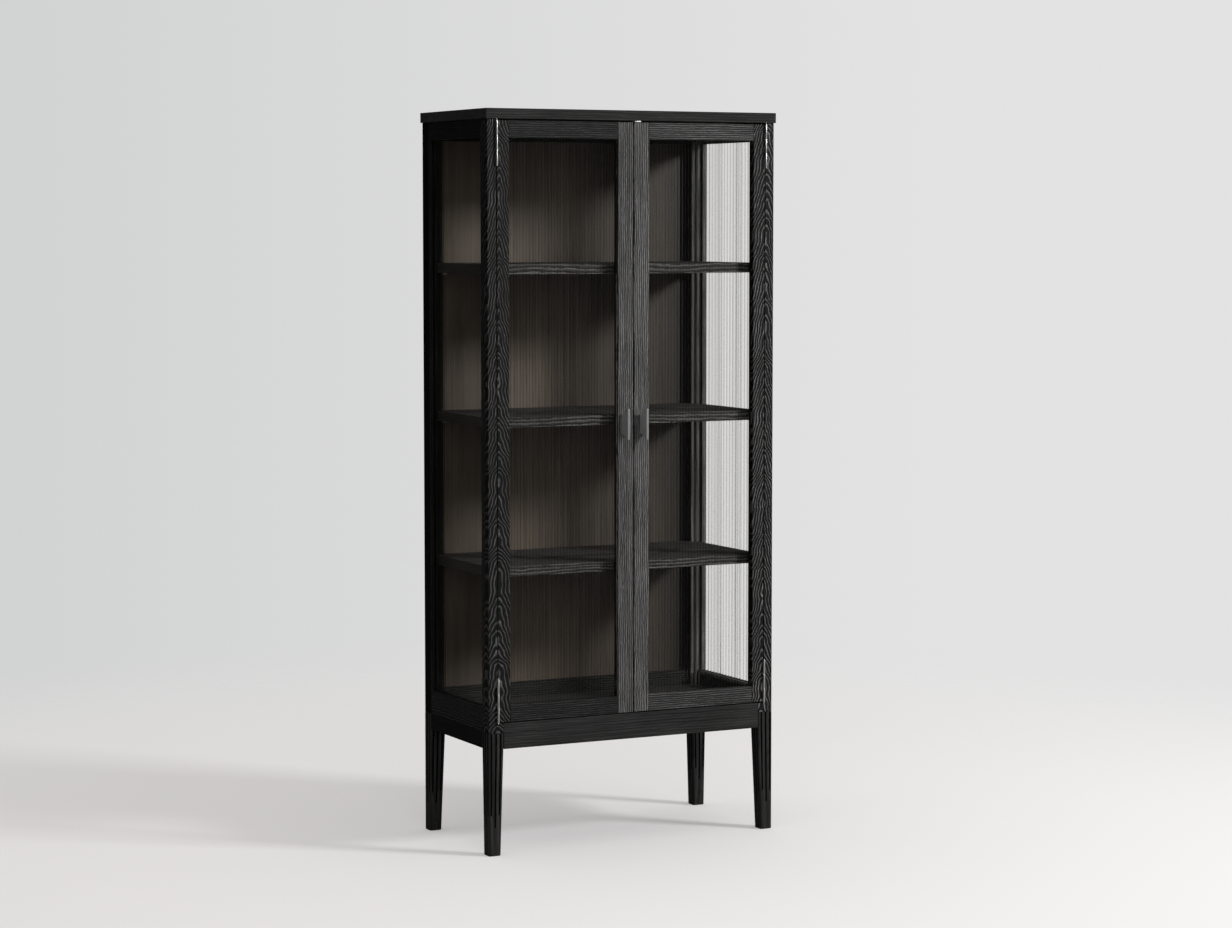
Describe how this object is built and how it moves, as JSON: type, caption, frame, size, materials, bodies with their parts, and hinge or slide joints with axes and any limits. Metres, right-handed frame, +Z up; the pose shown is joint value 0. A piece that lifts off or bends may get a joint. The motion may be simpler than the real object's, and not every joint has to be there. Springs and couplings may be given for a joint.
{
  "type": "display cabinet",
  "caption": "Tall free-standing display cabinet with reeded glass doors and sides, shelves and four tapered legs.",
  "frame": {"origin": "on the floor, under the middle of the whole object's width and depth", "axes": "+Z up, the doors face -Y, and +X is to the right of a person who faces the doors"},
  "size_m": [0.8, 0.421, 1.82],
  "materials": {
    "frame_wood": "black stain over brushed open grain, satin",
    "shelf_wood": "black-brown stain, satin",
    "back_wood": "black-brown stain, vertical grain",
    "reeded_glass": "clear, with half-round vertical reeds on its outer face",
    "black_metal": "black, semi-gloss",
    "bright_steel": "bright nickel",
    "black_plastic": "matte"
  },
  "bodies": {
    "root": {"top_board": "frame_wood", "front_left_post": "frame_wood", "rear_left_post": "frame_wood", "left_side_top_rail": "frame_wood", "left_side_bottom_rail": "frame_wood", "left_side_glass": "reeded_glass", "left_side_bead": "frame_wood", "front_left_leg": "frame_wood", "rear_left_leg": "frame_wood", "left_apron": "frame_wood", "left_magnetic_catch": "black_plastic", "left_upper_case_leaf": "bright_steel", "left_upper_hinge_pin": "bright_steel", "left_lower_case_leaf": "bright_steel", "left_lower_hinge_pin": "bright_steel", "front_right_post": "frame_wood", "rear_right_post": "frame_wood", "right_side_top_rail": "frame_wood", "right_side_bottom_rail": "frame_wood", "right_side_glass": "reeded_glass", "right_side_bead": "frame_wood", "front_right_leg": "frame_wood", "rear_right_leg": "frame_wood", "right_apron": "frame_wood", "right_magnetic_catch": "black_plastic", "right_upper_case_leaf": "bright_steel", "right_upper_hinge_pin": "bright_steel", "right_lower_case_leaf": "bright_steel", "right_lower_hinge_pin": "bright_steel", "back_top_rail": "frame_wood", "back_bottom_rail": "frame_wood", "back_panel": "back_wood", "bottom_panel": "shelf_wood", "front_bottom_rail": "frame_wood", "lower_shelf": "shelf_wood", "middle_shelf": "shelf_wood", "upper_shelf": "shelf_wood", "front_apron": "frame_wood", "back_apron": "frame_wood", "keeper_plate": "bright_steel"},
    "left_door": {"left_door_hinge_stile": "frame_wood", "left_door_meeting_stile": "frame_wood", "left_door_top_rail": "frame_wood", "left_door_bottom_rail": "frame_wood", "left_door_glass": "reeded_glass", "left_door_bead": "frame_wood", "left_pull": "black_metal", "left_strike_plate": "bright_steel", "left_upper_door_leaf": "bright_steel", "left_lower_door_leaf": "bright_steel"},
    "right_door": {"right_door_hinge_stile": "frame_wood", "right_door_meeting_stile": "frame_wood", "right_door_top_rail": "frame_wood", "right_door_bottom_rail": "frame_wood", "right_door_glass": "reeded_glass", "right_door_bead": "frame_wood", "right_pull": "black_metal", "right_strike_plate": "bright_steel", "right_upper_door_leaf": "bright_steel", "right_lower_door_leaf": "bright_steel"}
  },
  "joints": [
    {"name": "left_door_hinge", "type": "hinge", "parent": "root", "child": "left_door", "pos_m": [-0.3717, -0.1887, 1.06], "axis": [0, 0, -1], "range_deg": [0, 170]},
    {"name": "right_door_hinge", "type": "hinge", "parent": "root", "child": "right_door", "pos_m": [0.3717, -0.1887, 1.06], "axis": [0, 0, 1], "range_deg": [0, 170]}
  ]
}
